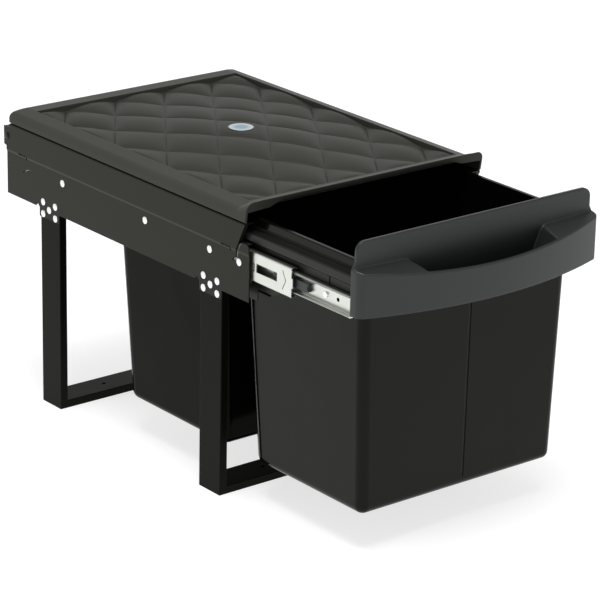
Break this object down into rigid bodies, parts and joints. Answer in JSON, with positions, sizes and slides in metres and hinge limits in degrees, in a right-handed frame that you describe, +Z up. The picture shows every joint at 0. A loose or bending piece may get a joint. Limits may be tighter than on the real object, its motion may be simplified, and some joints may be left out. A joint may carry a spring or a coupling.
{
  "type": "pull out bin frame",
  "caption": "Steel cabinet frame with a padded-look lid, carrying a drawer of tapered bins on full-extension ball slides behind a moulded front panel with a bow grip",
  "frame": {"origin": "On the floor, in the middle of the four floor screw holes", "axes": "X across, to the right seen from the front; the drawer comes out along -Y; Z up"},
  "size_m": [0.3446, 0.704, 0.367],
  "materials": {
    "steel_black": "satin black powder coat on steel sheet",
    "steel_zinc": "bright zinc-plated steel",
    "rivet_steel": "bright plated fasteners",
    "ball_steel": "polished steel balls",
    "lid_plastic": "black plastic with a fine satin grain",
    "bin_plastic": "glossy black plastic",
    "panel_plastic": "dark grey plastic with a fine matte grain",
    "lever_plastic": "black plastic",
    "badge_plastic": "plain pale blue disc with a light rim"
  },
  "bodies": {
    "frame": {"side_panel_left": "steel_black", "side_panel_right": "steel_black", "front_leg_left": "steel_black", "front_leg_right": "steel_black", "front_foot_bar": "steel_black", "rear_leg_left": "steel_black", "rear_leg_right": "steel_black", "rear_foot_bar": "steel_black", "leg_rivets_left": "rivet_steel", "leg_rivets_right": "rivet_steel", "rear_cross_rail": "steel_black", "cross_rail_rivets": "rivet_steel", "slide_outer_left": "steel_zinc", "slide_outer_right": "steel_zinc", "slide_rivets_left": "rivet_steel", "slide_rivets_right": "rivet_steel", "lid": "lid_plastic", "lid_badge": "badge_plastic", "lid_screws": "rivet_steel"},
    "drawer": {"drawer_rail_left": "steel_black", "drawer_rail_right": "steel_black", "drawer_mid_brace": "steel_black", "drawer_rear_brace": "steel_black", "front_bin": "bin_plastic", "rear_bin": "bin_plastic", "front_panel": "panel_plastic", "front_panel_screws": "rivet_steel", "slide_inner_left": "steel_zinc", "slide_inner_right": "steel_zinc", "slide_screws_left": "rivet_steel", "slide_screws_right": "rivet_steel", "lever_pivot_left": "rivet_steel", "lever_pivot_right": "rivet_steel"},
    "middle_left": {"slide_middle_left": "steel_zinc"},
    "outer_cage_left": {"outer_ball_cage_left": "steel_zinc", "outer_balls_left": "ball_steel"},
    "inner_cage_left": {"inner_ball_cage_left": "steel_zinc", "inner_balls_left": "ball_steel"},
    "lever_left": {"release_lever_left": "lever_plastic"},
    "middle_right": {"slide_middle_right": "steel_zinc"},
    "outer_cage_right": {"outer_ball_cage_right": "steel_zinc", "outer_balls_right": "ball_steel"},
    "inner_cage_right": {"inner_ball_cage_right": "steel_zinc", "inner_balls_right": "ball_steel"},
    "lever_right": {"release_lever_right": "lever_plastic"}
  },
  "joints": [
    {"name": "drawer_slide", "type": "slide", "parent": "frame", "child": "drawer", "axis": [0, -1, 0], "range_m": [-0.174, 0.256]},
    {"name": "middle_slide_left", "type": "slide", "parent": "frame", "child": "middle_left", "axis": [0, -1, 0], "range_m": [-0.087, 0.128]},
    {"name": "outer_cage_slide_left", "type": "slide", "parent": "frame", "child": "outer_cage_left", "axis": [0, -1, 0], "range_m": [-0.0435, 0.064]},
    {"name": "inner_cage_slide_left", "type": "slide", "parent": "frame", "child": "inner_cage_left", "axis": [0, -1, 0], "range_m": [-0.1305, 0.192]},
    {"name": "release_lever_left", "type": "hinge", "parent": "drawer", "child": "lever_left", "pos_m": [-0.161, -0.292, 0.2905], "axis": [1, 0, 0], "range_deg": [0, 8], "stiffness_Nm_per_rad": 0.02},
    {"name": "middle_slide_right", "type": "slide", "parent": "frame", "child": "middle_right", "axis": [0, -1, 0], "range_m": [-0.087, 0.128]},
    {"name": "outer_cage_slide_right", "type": "slide", "parent": "frame", "child": "outer_cage_right", "axis": [0, -1, 0], "range_m": [-0.0435, 0.064]},
    {"name": "inner_cage_slide_right", "type": "slide", "parent": "frame", "child": "inner_cage_right", "axis": [0, -1, 0], "range_m": [-0.1305, 0.192]},
    {"name": "release_lever_right", "type": "hinge", "parent": "drawer", "child": "lever_right", "pos_m": [0.161, -0.292, 0.2905], "axis": [1, 0, 0], "range_deg": [-8, 0], "stiffness_Nm_per_rad": 0.02}
  ],
  "couplings": [
    {"joint": "middle_slide_left", "follows": "drawer_slide", "ratio": 0.5},
    {"joint": "outer_cage_slide_left", "follows": "drawer_slide", "ratio": 0.25},
    {"joint": "inner_cage_slide_left", "follows": "drawer_slide", "ratio": 0.75},
    {"joint": "middle_slide_right", "follows": "drawer_slide", "ratio": 0.5},
    {"joint": "outer_cage_slide_right", "follows": "drawer_slide", "ratio": 0.25},
    {"joint": "inner_cage_slide_right", "follows": "drawer_slide", "ratio": 0.75}
  ]
}
